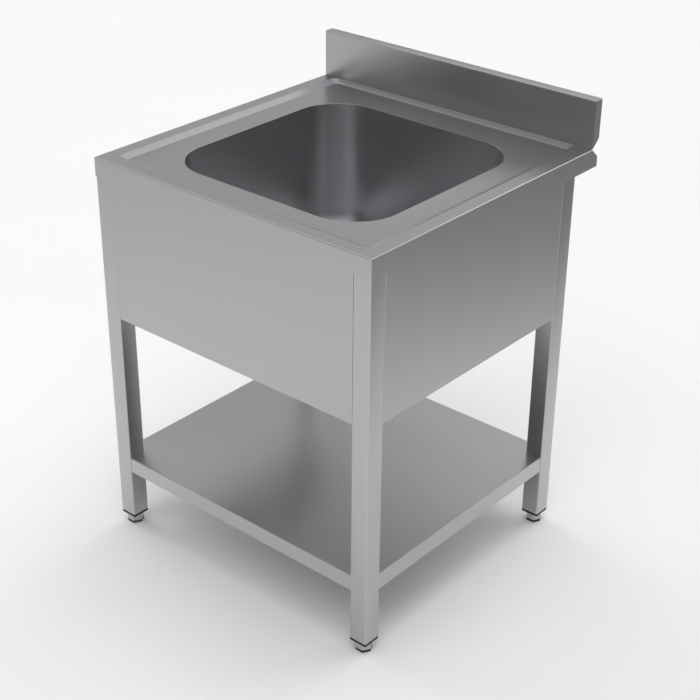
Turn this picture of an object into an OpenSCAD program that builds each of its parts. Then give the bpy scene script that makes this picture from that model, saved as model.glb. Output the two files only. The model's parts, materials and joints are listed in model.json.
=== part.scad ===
// Catering sink table: a pressed worktop with a splashback and a welded bowl, on a
// square-tube frame with three aprons, an undershelf and four levelling feet.
// Origin: middle of the footprint, on the floor. The front faces -Y, the wall side +Y.

/* [Worktop] */
// Width of the worktop from side to side
top_w = 700; // [640:10:1200]
// Depth of the worktop from front to back
top_d = 700; // [680:10:800]
// Height of the worktop's rim above the floor
rim_h = 850; // [800:5:950]
// Thickness of the worktop's sheet
sheet_t = 1; // [0.8:0.1:1.5]
// Outer radius of the bends along the worktop's edges
bend_r = 2; // [1.6:0.1:4]
// Outer radius of the upright bends at the two rear corners
rear_bend_r = 4; // [2:0.5:8]
// Height of the flange folded down round the worktop
flange_h = 40; // [32:1:60]
// Width of the flat rim round the recessed deck
rim_w = 30; // [15:1:40]
// Depth of the deck below the rim
recess_depth = 8; // [3:0.5:12]
// Width of the slope between the rim and the deck
slope_w = 15; // [8:1:25]
// Corner radius of the recess
recess_r = 14; // [4:1:30]

/* [Splashback] */
// Height of the splashback above the rim
splash_h = 100; // [60:5:200]
// Thickness of the hollow splashback
splash_t = 24; // [15:1:40]
// Height of the slanted cut-back above and below the rim's level
undercut_h = 22; // [12:1:28]

/* [Bowl] */
// Width of the flat deck on each side of the bowl
side_land = 55; // [35:1:120]
// Width of the flat deck in front of the bowl
front_land = 43; // [30:1:80]
// Width of the flat deck behind the bowl, where taps stand
rear_land = 73; // [30:1:120]
// Depth of the bowl below the deck
bowl_depth = 300; // [200:10:320]
// Radius of the bowl's upright corners
bowl_corner_r = 100; // [65:5:150]
// Radius of the bend between the bowl's walls and its floor
bowl_bottom_r = 60; // [15:5:60]
// Thickness of the bowl's wall
bowl_t = 1.2; // [0.8:0.1:2]
// Width of the flange by which the bowl is welded under the deck
bowl_flange_w = 12; // [6:1:16]
// Fall of the bowl's floor towards the waste
bowl_fall = 4; // [1:0.5:10]
// Radius of the falling part of the bowl's floor
fall_r = 110; // [60:5:115]

/* [Frame] */
// Outside width of the square legs
leg_w = 40; // [34:1:50]
// Wall thickness of the legs and of the rear rail
tube_t = 1.5; // [1:0.1:3]
// Outside corner radius of the legs and of the rear rail
tube_r = 2.5; // [2:0.5:5]
// Overhang of the worktop behind the rear legs
rear_overhang = 77; // [30:1:100]
// Height of apron that shows below the worktop's flange
apron_drop = 300; // [100:10:330]
// Width of the returns folded in round each apron
apron_fold_w = 15; // [8:1:20]
// Width of the square rail between the rear legs
rail_w = 25; // [20:1:30]
// Depth of the hat sections under the deck
deck_rib_h = 25; // [12:1:30]

/* [Undershelf] */
// Height of the undershelf's top above the floor
shelf_z = 175; // [120:5:300]
// Thickness of the undershelf's sheet
shelf_t = 1; // [0.8:0.1:1.5]
// Height of the undershelf's folded edge
shelf_edge_h = 35; // [30:1:50]
// Distance of the undershelf's edge behind the faces of the legs
shelf_inset = 1.5; // [0.5:0.5:5]
// Width of the return under the folded edge
shelf_fold_w = 12; // [6:1:20]
// Width of the hat section under the undershelf
shelf_rib_w = 80; // [50:5:120]
// Depth of the hat section under the undershelf
shelf_rib_h = 25; // [12:1:27]

/* [Feet] */
// Height of the legs' lower ends above the floor
foot_h = 28; // [24:1:40]
// Thickness of the plastic collar under each leg
collar_h = 5.5; // [3:0.5:8]
// Depth of the plastic plug inside each leg
plug_h = 28; // [22:1:40]
// Radius of the foot's threaded stud
stud_r = 5; // [4:0.5:6]
// Length of the stud above the foot's hexagon
stud_l = 48; // [44:1:60]
// Width of the foot's hexagon across its flats
hex_w = 30; // [24:1:34]
// Thickness of the black glide under the hexagon
glide_h = 5; // [3:0.5:8]

/* [Waste fitting] */
// Radius of the waste hole in the bowl's floor
waste_hole_r = 26; // [24:0.5:30]
// Radius of the strainer plate's rim
strainer_r = 35; // [32:0.5:40]
// Radius of the threaded outlet, which takes a nut for 1 1/2 inch pipe
outlet_r = 23.9; // [20:0.1:25]
// Length of the threaded outlet
outlet_l = 25; // [15:1:40]
// Number of holes in the strainer's outer ring
strainer_holes = 12; // [8:1:16]

/* [Hidden] */

$fn = 64;

// How far a cut runs past the face that it opens
overrun = 1;
// Radial clearance of a stud or spigot that turns in its hole
turn_fit = 0.05;
// Clearance between a push-in piece and its socket
push_fit = 0.1;
// Gap under the collar when a foot is screwed right in
foot_gap = 0.3;

steel = "#a6a8aa";
bright_steel = "#c4c6c8";
black_plastic = "#1c1c1e";
pale_plastic = "#d8d8d4";
brass = "#b89a50";

// Planes of the worktop
top_front = -top_d / 2;
top_back = top_d / 2;
deck_z = rim_h - recess_depth;
deck_under_z = deck_z - sheet_t;
flange_z = rim_h - flange_h;
splash_y = top_back - splash_t;
splash_z = rim_h + splash_h;
undercut_l = norm([splash_t, undercut_h]);
rear_lip_w = 14;
recess_facets = 48;

// Recess: its flat bottom, and how much larger it is at the rim
deck_w = top_w - 2 * (rim_w + slope_w);
deck_d = top_d - splash_t - rim_w - 2 * slope_w;
deck_y = (top_front + rim_w + splash_y) / 2;

// Bowl: it fills the deck but for the lands round it
bowl_w = deck_w - 2 * side_land;
bowl_d = deck_d - front_land - rear_land;
bowl_y = deck_y + (front_land - rear_land) / 2;
bowl_floor_z = deck_z - bowl_depth;
seal_t = 1.5;
strainer_t = 1.2;
seat_z = bowl_floor_z - bowl_fall - seal_t - strainer_t;
seat_gap = 1.5;
seat_r = strainer_r + seat_gap;

// Legs: the centres of the four tubes
leg_x = top_w / 2 - sheet_t - leg_w / 2;
leg_front_y = top_front + sheet_t + leg_w / 2;
leg_rear_y = top_back - rear_overhang - leg_w / 2;
front_left = [-leg_x, leg_front_y];
front_right = [leg_x, leg_front_y];
rear_left = [-leg_x, leg_rear_y];
rear_right = [leg_x, leg_rear_y];
tube_bore_r = tube_r - tube_t > 0 ? tube_r - tube_t : tube_r / 4;
clear_w = 2 * leg_x - leg_w;
clear_d = leg_rear_y - leg_front_y - leg_w;
clear_y = (leg_rear_y + leg_front_y) / 2;
apron_z = flange_z - apron_drop;

// Hat sections: the share of their width in each foot and in the slope of each web
hat_foot_share = 0.22;
hat_slope_share = 0.1;
rib_t = 1;
deck_rib_gap = 2;
deck_rib_w = side_land - bowl_flange_w - 2 * deck_rib_gap;
deck_rib_x = bowl_w / 2 + bowl_flange_w + deck_rib_gap + deck_rib_w / 2;
deck_rib_l = deck_d - 2 * deck_rib_gap;

// Undershelf
shelf_half_w = leg_x + leg_w / 2 - shelf_inset;
shelf_half_d = clear_d / 2 + leg_w - shelf_inset;
shelf_low_z = shelf_z - shelf_edge_h;

// Feet
collar_z = foot_h - collar_h;
hex_top_z = collar_z - foot_gap;
hex_r = hex_w / 2 / cos(30);
hex_chamfer = 1.2;
plug_margin = 1.6;
plug_fin_t = 2;
plug_fin_count = 3;
bush_r = 8;
bush_l = 20;
bush_groove = 0.8;
bush_groove_shares = [0.3, 0.7];
stud_tip = 1;
stud_bore_gap = 0.6;
stud_bore_r = stud_r + stud_bore_gap;
spigot_r = 6;
spigot_h = 8;
spigot_end_gap = 0.5;

// Waste fitting
drop_r = waste_hole_r - 3 * turn_fit - strainer_t;
basin_share = 0.82;
basin_drop = 4;
strainer_hole_r = 2.4;
inner_ring_share = 0.42;
outer_ring_share = 0.78;
screw_r = 3;
screw_head_r = 5.5;
screw_top_share = 0.82;
screw_head_h = 2.6;
screw_l = 34;
lower_seal_t = 3;
body_rim_r = seat_r - bowl_t;
body_rim_h = 4;
body_wall = 3;
cup_h = 20;
cone_h = 9;
boss_r = 8;
boss_h = 14;
boss_drop = 6;
spoke_t = 3;
spoke_count = 3;
screw_insert_r = 5;
body_top_z = seat_z - bowl_t - lower_seal_t;
cup_low_z = body_top_z - cup_h;
outlet_top_z = cup_low_z - cone_h;
outlet_low_z = outlet_top_z - outlet_l;
strainer_top_z = seat_z + seal_t + strainer_t;
basin_z = strainer_top_z - strainer_t - basin_drop;
boss_top_z = body_top_z - boss_drop;

// Rectangle with four round corners
module rounded_rect(w, d, r) {
    square([w - 2 * r, d], center = true);
    square([w, d - 2 * r], center = true);
    for (x = [-1, 1], y = [-1, 1])
        translate([x * (w / 2 - r), y * (d / 2 - r)]) circle(r);
}

// Rectangle standing on low, up to high, with its two top corners round
module rounded_top(w, low, high, r) {
    translate([-w / 2, low]) square([w, high - low - r]);
    translate([r - w / 2, low]) square([w - 2 * r, high - low]);
    for (x = [-1, 1]) translate([x * (w / 2 - r), high - r]) circle(r);
}

// Profile in X and Z, extruded from one Y to another
module along_y(from, to) {
    translate([0, to, 0]) rotate([90, 0, 0]) linear_extrude(to - from) children();
}

// Profile in Y and Z, extruded over a width centred on the part
module along_x(w) {
    translate([-w / 2, 0, 0]) rotate([90, 0, 90]) linear_extrude(w) children();
}

// Height of the slanted cut-back at y, moved by an inset square to its face:
// side 1 is the face above the rim's level, side -1 the one below it
function undercut_z(y, inset, side) =
    rim_h + side * ((y - splash_y) * undercut_h + inset * undercut_l) / splash_t;

// Side view of the worktop below the splashback
module top_side(inset) {
    front = top_front + inset;
    high = rim_h - inset;
    r = bend_r - inset;
    back = top_back - inset;
    slant_y = splash_y - inset * (undercut_l - splash_t) / undercut_h;
    translate([front + r, high - r]) circle(r);
    polygon([
        [front, flange_z - inset], [front, high - r], [front + r, high - r],
        [front + r, high], [slant_y, high],
        [back, undercut_z(back, inset, -1)], [back, flange_z - inset]
    ]);
}

// Splashback's side view extruded over a width, drawn in by an inset
module splash_prism(w, inset) {
    front = splash_y + inset;
    back = top_back - inset;
    high = splash_z - inset;
    intersection() {
        along_x(w) polygon([
            [front, undercut_z(front, inset, 1)], [front, high], [back, high],
            [back, undercut_z(back, inset, 1)]
        ]);
        translate([0, (front + back) / 2, 0])
            along_x(w) rounded_top(back - front, rim_h, high, bend_r - inset);
    }
}

// Plan of the worktop: square at the front, round at the two rear corners
module top_plan(inset) {
    w = top_w - 2 * inset;
    r = rear_bend_r - inset;
    front = top_front + inset;
    back = top_back - inset;
    translate([-w / 2, front]) square([w, back - front - r]);
    translate([r - w / 2, front]) square([w - 2 * r, back - front]);
    for (x = [-1, 1]) translate([x * (w / 2 - r), back - r]) circle(r);
}

// Worktop's outer form below the splashback, or the same drawn in by an inset
module top_form(inset) {
    intersection() {
        translate([0, 0, flange_z - inset]) linear_extrude(flange_h) top_plan(inset);
        along_x(top_w) top_side(inset);
        along_y(top_front, top_back)
            rounded_top(top_w - 2 * inset, flange_z - inset, rim_h - inset, bend_r - inset);
    }
}

// Splashback's outer form, or the same drawn in by an inset
module splash_form(inset) {
    intersection() {
        translate([0, 0, rim_h - overrun])
            linear_extrude(splash_h + 2 * overrun) top_plan(inset);
        splash_prism(top_w, inset);
    }
}

// The recess as a solid, from a low face up past the rim
module recess(low, height) {
    grow = 2 * slope_w * height / recess_depth;
    translate([0, deck_y, low])
        linear_extrude(height, scale = [1 + grow / deck_w, 1 + grow / deck_d], slices = 1)
            rounded_rect(deck_w, deck_d, recess_r, $fn = recess_facets);
}

// Plate that closes one end of the splashback, up to the rear corner's bend
module splash_plate(w) {
    intersection() {
        splash_prism(w, sheet_t);
        translate([-w / 2, splash_y, rim_h]) cube([w, splash_t - rear_bend_r, splash_h]);
    }
}

module splash_cap(side) {
    color(steel) translate([side * (top_w - sheet_t) / 2, 0, 0]) splash_plate(sheet_t);
}

// Deck, flanges and splashback, folded from one sheet
module worktop() {
    color(steel) {
        difference() {
            union() {
                intersection() {
                    difference() {
                        top_form(0);
                        top_form(sheet_t);
                    }
                    union() {
                        translate([-top_w / 2, top_front, flange_z])
                            cube([top_w, splash_y - top_front, flange_h]);
                        for (x = [-top_w / 2, top_w / 2 - sheet_t])
                            translate([x, top_front, flange_z])
                                cube([sheet_t, top_d - rear_bend_r, flange_h]);
                    }
                }
                recess(deck_under_z, recess_depth);
            }
            recess(deck_z, recess_depth + overrun);
            translate([0, bowl_y, deck_under_z - overrun])
                linear_extrude(recess_depth + 2 * overrun)
                    rounded_rect(bowl_w, bowl_d, bowl_corner_r);
        }
        translate([-top_w / 2, splash_y, rim_h - sheet_t])
            cube([top_w, sheet_t, 2 * sheet_t]);
        difference() {
            splash_form(0);
            splash_form(sheet_t);
            for (side = [-1, 1])
                translate([side * top_w / 2, 0, 0]) splash_plate(2 * sheet_t);
        }
    }
}

// Slanted and upright sheet under the worktop's rear edge, with its lip
module rear_edge() {
    color(steel) {
        intersection() {
            difference() {
                top_form(0);
                top_form(sheet_t);
            }
            union() {
                translate([sheet_t - top_w / 2, splash_y, flange_z])
                    cube([top_w - 2 * sheet_t, splash_t, flange_h - sheet_t]);
                translate([-top_w / 2, top_back - rear_bend_r, flange_z])
                    cube([top_w, rear_bend_r, flange_h - sheet_t]);
            }
        }
        translate([sheet_t - top_w / 2, top_back - sheet_t - rear_lip_w, flange_z])
            cube([top_w - 2 * sheet_t, rear_lip_w + sheet_t / 2, sheet_t]);
    }
}

// Section from a corner's axis outwards, with a round lower edge
module wall_section(r, bottom_r, height) {
    square([r - bottom_r, height]);
    translate([0, bottom_r]) square([r, height - bottom_r]);
    intersection() {
        translate([r - bottom_r, bottom_r]) circle(bottom_r);
        translate([r - bottom_r, 0]) square(bottom_r);
    }
}

// Inside of the bowl as a solid, grown by a wall and filled up to a height
module bowl_form(grow, high) {
    r = bowl_corner_r + grow;
    bottom_r = bowl_bottom_r + grow;
    low = bowl_floor_z - grow;
    side_w = bowl_w - 2 * bowl_corner_r;
    side_d = bowl_d - 2 * bowl_corner_r;
    translate([0, bowl_y, low]) {
        translate([-side_w / 2, -side_d / 2, 0]) cube([side_w, side_d, high - low]);
        for (quarter = [0:3]) {
            across = quarter % 2 == 0 ? side_w : side_d;
            along = quarter % 2 == 0 ? side_d : side_w;
            rotate([0, 0, quarter * 90]) {
                translate([across / 2, along / 2, 0])
                    rotate_extrude(angle = 90) wall_section(r, bottom_r, high - low);
                translate([across / 2, along / 2, 0])
                    rotate([90, 0, 0]) linear_extrude(along)
                        wall_section(r, bottom_r, high - low);
            }
        }
    }
}

// Falling middle of the bowl's floor with the sunk seat of the waste fitting
module floor_fall(grow, high) {
    translate([0, bowl_y, 0]) rotate_extrude() polygon([
        [0, high], [fall_r, high], [fall_r, bowl_floor_z - grow],
        [seat_r + grow, bowl_floor_z - bowl_fall - grow],
        [seat_r + grow, seat_z - grow], [0, seat_z - grow]
    ]);
}

// Deep-drawn bowl with its weld flange
module bowl() {
    color(steel) difference() {
        union() {
            bowl_form(bowl_t, deck_under_z);
            floor_fall(bowl_t, bowl_floor_z);
            translate([0, bowl_y, deck_under_z - bowl_t])
                linear_extrude(bowl_t)
                    rounded_rect(bowl_w + 2 * bowl_flange_w, bowl_d + 2 * bowl_flange_w,
                                 bowl_corner_r + bowl_flange_w);
        }
        bowl_form(0, deck_under_z + overrun);
        floor_fall(0, bowl_floor_z + overrun);
        translate([0, bowl_y, seat_z - bowl_t - overrun])
            cylinder(h = bowl_t + 2 * overrun, r = waste_hole_r);
    }
}

// Outline of a hat section that hangs from z = 0, with its two feet at the top
module hat_outline(w, depth, t) {
    foot = w * hat_foot_share;
    slope = w * hat_slope_share;
    difference() {
        polygon([
            [-w / 2, 0], [w / 2, 0], [w / 2, -t], [w / 2 - foot + t, -t],
            [w / 2 - foot - slope + t, -depth], [foot + slope - t - w / 2, -depth],
            [foot - t - w / 2, -t], [-w / 2, -t]
        ]);
        polygon([
            [w / 2 - foot, overrun], [w / 2 - foot, -t],
            [w / 2 - foot - slope, t - depth],
            [foot + slope - w / 2, t - depth], [foot - w / 2, -t], [foot - w / 2, overrun]
        ]);
    }
}

// Hat section welded under the deck beside the bowl, running front to back
module deck_rib(side) {
    color(steel) translate([side * deck_rib_x, deck_y - deck_rib_l / 2, deck_under_z])
        along_y(0, deck_rib_l) hat_outline(deck_rib_w, deck_rib_h, rib_t);
}

// Box with its face at y = 0 towards -Y and the four edges of that face round
module pan_form(w, d, h, r) {
    intersection() {
        linear_extrude(h) union() {
            translate([r - w / 2, 0]) square([w - 2 * r, d]);
            translate([-w / 2, r]) square([w, d - r]);
            for (x = [-1, 1]) translate([x * (w / 2 - r), r]) circle(r);
        }
        along_x(w) union() {
            translate([0, r]) square([d, h - 2 * r]);
            translate([r, 0]) square([d - r, h]);
            for (z = [r, h - r]) translate([r, z]) circle(r);
        }
    }
}

// Apron panel with all four edges folded in, centred over a clear width
module apron(w) {
    h = rim_h - sheet_t - apron_z;
    difference() {
        pan_form(w, apron_fold_w, h, bend_r);
        translate([0, sheet_t, sheet_t])
            pan_form(w - 2 * sheet_t, apron_fold_w, h - 2 * sheet_t, bend_r - sheet_t);
    }
}

module apron_front() {
    color(steel) translate([0, top_front + sheet_t, apron_z]) apron(clear_w);
}

module apron_side(side) {
    color(steel) translate([side * (top_w / 2 - sheet_t), clear_y, apron_z])
        rotate([0, 0, side * 90]) apron(clear_d);
}

// Square tube section
module tube_outline(w) {
    difference() {
        rounded_rect(w, w, tube_r);
        rounded_rect(w - 2 * tube_t, w - 2 * tube_t, tube_bore_r);
    }
}

module rear_rail() {
    color(steel)
        translate([0, leg_rear_y + (leg_w - rail_w) / 2, apron_z + rail_w / 2])
            along_x(clear_w) tube_outline(rail_w);
}

module leg(place) {
    color(steel) translate([place[0], place[1], foot_h])
        linear_extrude(deck_under_z - foot_h) tube_outline(leg_w);
}

// Undershelf's outer form, or the same drawn in by an inset
module shelf_form(inset, low) {
    high = shelf_z - inset;
    r = bend_r - inset;
    translate([0, clear_y, 0]) intersection() {
        along_y(inset - shelf_half_d, shelf_half_d - inset)
            rounded_top(2 * (shelf_half_w - inset), low, high, r);
        along_x(2 * shelf_half_w) rounded_top(2 * (shelf_half_d - inset), low, high, r);
    }
}

// Undershelf folded down and under on four sides, notched round the legs
module undershelf() {
    color(steel) difference() {
        shelf_form(0, shelf_low_z);
        shelf_form(shelf_t, shelf_low_z + shelf_t);
        translate([0, clear_y, shelf_low_z])
            cube([2 * (shelf_half_w - shelf_fold_w), 2 * (shelf_half_d - shelf_fold_w),
                  3 * shelf_t], center = true);
        for (x = [-1, 1], y = [-1, 1])
            translate([x * (clear_w + leg_w + overrun) / 2,
                       clear_y + y * (clear_d + leg_w + overrun) / 2,
                       shelf_low_z - overrun])
                linear_extrude(shelf_edge_h + 2 * overrun)
                    square(leg_w + overrun, center = true);
    }
}

// Hat section across the middle of the undershelf
module shelf_rib() {
    color(steel) translate([0, clear_y, shelf_z - shelf_t])
        along_x(2 * (shelf_half_w - shelf_fold_w))
            hat_outline(shelf_rib_w, shelf_rib_h, rib_t);
}

// Plastic collar and finned plug pushed into a leg's lower end
module insert(place) {
    bore_w = leg_w - 2 * tube_t;
    core_w = bore_w - 2 * plug_margin;
    fin_step = plug_h / plug_fin_count;
    color(black_plastic) translate([place[0], place[1], collar_z]) difference() {
        union() {
            linear_extrude(collar_h) rounded_rect(leg_w, leg_w, tube_r);
            linear_extrude(collar_h + plug_h) rounded_rect(core_w, core_w, tube_r);
            for (i = [1:plug_fin_count])
                translate([0, 0, collar_h + i * fin_step - plug_fin_t])
                    linear_extrude(plug_fin_t)
                        rounded_rect(bore_w - 2 * push_fit, bore_w - 2 * push_fit, tube_r);
        }
        translate([0, 0, -overrun]) cylinder(h = bush_l + overrun, r = bush_r);
        cylinder(h = collar_h + plug_h + overrun, r = stud_bore_r);
    }
}

// Grooved steel bush moulded into the plug, bored for the foot's stud
module bush(place) {
    color(bright_steel) translate([place[0], place[1], collar_z]) difference() {
        cylinder(h = bush_l, r = bush_r);
        for (share = bush_groove_shares)
            translate([0, 0, share * bush_l - bush_groove])
                difference() {
                    cylinder(h = 2 * bush_groove, r = bush_r + overrun);
                    cylinder(h = 2 * bush_groove, r = bush_r - bush_groove);
                }
        translate([0, 0, -overrun]) cylinder(h = bush_l + 2 * overrun, r = stud_r + turn_fit);
    }
}

// Levelling foot: chamfered hexagon with its stud above and a socket below
module foot(place) {
    hex_h = hex_top_z - glide_h;
    color(bright_steel) translate([place[0], place[1], glide_h]) difference() {
        union() {
            intersection() {
                cylinder(h = hex_h, r = hex_r, $fn = 6);
                rotate_extrude() polygon([
                    [0, 0], [hex_r, 0], [hex_r, hex_h - hex_chamfer],
                    [hex_r - 2 * hex_chamfer, hex_h], [0, hex_h]
                ]);
            }
            rotate_extrude() polygon([
                [0, hex_h / 2], [stud_r, hex_h / 2], [stud_r, hex_h + stud_l - stud_tip],
                [stud_r - stud_tip, hex_h + stud_l], [0, hex_h + stud_l]
            ]);
        }
        translate([0, 0, -overrun])
            cylinder(h = spigot_h + spigot_end_gap + overrun, r = spigot_r + turn_fit);
    }
}

// Black glide that stands on the floor while the foot is turned on its spigot
module glide(place) {
    color(black_plastic) translate([place[0], place[1], 0]) {
        cylinder(h = glide_h, r = hex_r, $fn = 6);
        cylinder(h = glide_h + spigot_h, r = spigot_r);
    }
}

// Sunk strainer plate with two rings of holes and a countersunk middle
module waste_strainer() {
    basin_r = drop_r * basin_share;
    color(bright_steel) translate([0, bowl_y, 0]) difference() {
        rotate_extrude() polygon([
            [0, basin_z], [basin_r, basin_z], [drop_r, strainer_top_z - strainer_t],
            [strainer_r, strainer_top_z - strainer_t], [strainer_r, strainer_top_z - strainer_t / 2],
            [strainer_r - strainer_t / 2, strainer_top_z], [drop_r - strainer_t, strainer_top_z],
            [basin_r - strainer_t, basin_z + strainer_t], [0, basin_z + strainer_t]
        ]);
        for (i = [1:strainer_holes]) rotate([0, 0, i * 360 / strainer_holes])
            translate([basin_r * outer_ring_share, 0, basin_z - overrun])
                cylinder(h = strainer_t + 2 * overrun, r = strainer_hole_r);
        for (i = [1:strainer_holes / 2]) rotate([0, 0, (i + 1 / 4) * 720 / strainer_holes])
            translate([basin_r * inner_ring_share, 0, basin_z - overrun])
                cylinder(h = strainer_t + 2 * overrun, r = strainer_hole_r);
        translate([0, 0, basin_z - overrun])
            cylinder(h = strainer_t + 2 * overrun, r = screw_r + turn_fit);
    }
}

// Slotted screw that clamps the strainer to the waste body
module strainer_screw() {
    top = basin_z + strainer_t + screw_head_h;
    color(bright_steel) translate([0, bowl_y, 0]) difference() {
        rotate_extrude() polygon([
            [0, top], [screw_head_r * screw_top_share, top], [screw_head_r, top - screw_head_h / 2],
            [screw_head_r, top - screw_head_h], [screw_r, top - screw_head_h],
            [screw_r, top - screw_head_h - screw_l], [0, top - screw_head_h - screw_l]
        ]);
        translate([0, 0, top])
            cube([2 * screw_head_r + overrun, screw_r / 2, screw_head_h], center = true);
    }
}

// Ring of rubber between two flat faces
module seal_ring(low, height, outer_r, inner_r) {
    color(black_plastic) translate([0, bowl_y, low]) difference() {
        cylinder(h = height, r = outer_r);
        translate([0, 0, -overrun]) cylinder(h = height + 2 * overrun, r = inner_r);
    }
}

module waste_top_seal() {
    seal_ring(seat_z, seal_t, strainer_r - seal_t, waste_hole_r + seal_t);
}

module waste_lower_seal() {
    seal_ring(body_top_z, lower_seal_t, body_rim_r, waste_hole_r + seal_t);
}

// Moulded waste body: rim, cup, spoked boss for the screw, cone and threaded outlet
module waste_body() {
    cup_r = waste_hole_r + body_wall;
    color(pale_plastic) translate([0, bowl_y, 0]) {
        rotate_extrude() polygon([
            [waste_hole_r, body_top_z], [body_rim_r, body_top_z],
            [body_rim_r, body_top_z - body_rim_h], [cup_r, body_top_z - body_rim_h],
            [cup_r, cup_low_z], [outlet_r, outlet_top_z], [outlet_r, outlet_low_z],
            [outlet_r - body_wall, outlet_low_z], [outlet_r - body_wall, outlet_top_z],
            [waste_hole_r, cup_low_z]
        ]);
        difference() {
            union() {
                translate([0, 0, boss_top_z - boss_h]) cylinder(h = boss_h, r = boss_r);
                for (i = [1:spoke_count]) rotate([0, 0, i * 360 / spoke_count])
                    translate([0, -spoke_t / 2, boss_top_z - boss_h])
                        cube([waste_hole_r + body_wall / 2, spoke_t, boss_h]);
            }
            translate([0, 0, boss_top_z - boss_h - overrun])
                cylinder(h = boss_h + 2 * overrun, r = screw_insert_r);
        }
    }
}

// Brass bush in the boss, bored for the strainer's screw
module screw_insert() {
    color(brass) translate([0, bowl_y, boss_top_z - boss_h]) difference() {
        cylinder(h = boss_h, r = screw_insert_r);
        translate([0, 0, -overrun])
            cylinder(h = boss_h + 2 * overrun, r = screw_r + turn_fit);
    }
}

worktop();
splash_cap(-1);  // splash_cap_left
splash_cap(1);  // splash_cap_right
rear_edge();
bowl();
deck_rib(-1);  // deck_rib_left
deck_rib(1);  // deck_rib_right
apron_front();
apron_side(-1);  // apron_left
apron_side(1);  // apron_right
rear_rail();
leg(front_left);  // leg_front_left
leg(front_right);  // leg_front_right
leg(rear_left);  // leg_rear_left
leg(rear_right);  // leg_rear_right
undershelf();
shelf_rib();
insert(front_left);  // insert_front_left
insert(front_right);  // insert_front_right
insert(rear_left);  // insert_rear_left
insert(rear_right);  // insert_rear_right
bush(front_left);  // bush_front_left
bush(front_right);  // bush_front_right
bush(rear_left);  // bush_rear_left
bush(rear_right);  // bush_rear_right
foot(front_left);  // foot_front_left
foot(front_right);  // foot_front_right
foot(rear_left);  // foot_rear_left
foot(rear_right);  // foot_rear_right
glide(front_left);  // glide_front_left
glide(front_right);  // glide_front_right
glide(rear_left);  // glide_rear_left
glide(rear_right);  // glide_rear_right
waste_strainer();
strainer_screw();
waste_top_seal();
waste_lower_seal();
waste_body();
screw_insert();
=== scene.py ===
"""Steel sink table in a pale studio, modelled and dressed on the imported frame.

Lengths are in metres. The worktop, the bowl, the legs, the threads, the weld beads and the
smooth round parts are made here. The frame's other solids keep their shape and get a finish.
"""
import json
import logging
import math
from collections.abc import Iterable, Sequence
from dataclasses import dataclass, field
from enum import Enum

import bmesh
import bpy
from mathutils import Matrix, Vector


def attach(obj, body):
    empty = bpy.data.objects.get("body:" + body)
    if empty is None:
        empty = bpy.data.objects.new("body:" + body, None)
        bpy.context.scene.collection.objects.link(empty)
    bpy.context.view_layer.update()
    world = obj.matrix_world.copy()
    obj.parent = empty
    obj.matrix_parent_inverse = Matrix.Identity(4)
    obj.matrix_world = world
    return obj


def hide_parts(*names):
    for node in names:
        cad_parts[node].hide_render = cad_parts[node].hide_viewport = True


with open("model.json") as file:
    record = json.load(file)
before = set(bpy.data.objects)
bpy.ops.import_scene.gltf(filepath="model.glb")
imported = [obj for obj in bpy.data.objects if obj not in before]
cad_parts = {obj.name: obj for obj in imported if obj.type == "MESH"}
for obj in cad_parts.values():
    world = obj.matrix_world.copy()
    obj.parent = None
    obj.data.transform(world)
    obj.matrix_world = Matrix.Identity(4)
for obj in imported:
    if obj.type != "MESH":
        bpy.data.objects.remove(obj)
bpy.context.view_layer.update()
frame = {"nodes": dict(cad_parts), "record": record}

LOG = logging.getLogger("sink_table")
TABLE = "table"  # the body that stands still
CRISP = math.radians(35)  # angle above which an edge stays crisp
MERGE = 1e-6  # distance within which points are one
SLIVER = 1e-9  # area under which a face is none
STEEP = 0.7  # share of a normal along an axis from which a face looks that way
NOISE_SPAN = (0.3, 0.7)  # holds nearly every value of a noise
Point = tuple[float, float, float]
Socket = bpy.types.NodeSocket


def linked(name: str, data: bpy.types.ID) -> bpy.types.Object:
    """Makes an object and puts it in the scene.

    Args:
        name: the object's name.
        data: its mesh or camera.

    Returns:
        The object.
    """
    thing = bpy.data.objects.new(name, data)
    bpy.context.scene.collection.objects.link(thing)
    return thing


def merged(node: str) -> bmesh.types.BMesh:
    """Copies a solid of the frame and merges its loose triangles.

    Args:
        node: the solid's name.

    Returns:
        The copy.
    """
    solid = bmesh.new()
    solid.from_mesh(frame["nodes"][node].data)
    bmesh.ops.remove_doubles(solid, verts=solid.verts, dist=MERGE)
    return solid


def meshed(name: str, form: bmesh.types.BMesh) -> bpy.types.Mesh:
    """Writes a form to a new mesh and frees it.

    Args:
        name: the mesh's name.
        form: the finished form.

    Returns:
        The mesh.
    """
    data = bpy.data.meshes.new(name)
    form.to_mesh(data)
    form.free()
    return data


def quarter(steps: int) -> list[tuple[float, float]]:
    """Gives a quarter turn's points, as pairs of 1 - cos and 1 - sin."""
    turns = [math.radians(90) * i / steps for i in range(steps + 1)]
    return [(1 - math.cos(turn), 1 - math.sin(turn)) for turn in turns]


class Grain(Enum):
    """Direction of the brushing, as the stretch of its streaks along X, Y and Z."""

    ALONG_X = (0.015, 1.0, 1.0)
    ALONG_Z = (1.0, 1.0, 0.015)
    NONE = (1.0, 1.0, 1.0)


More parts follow.
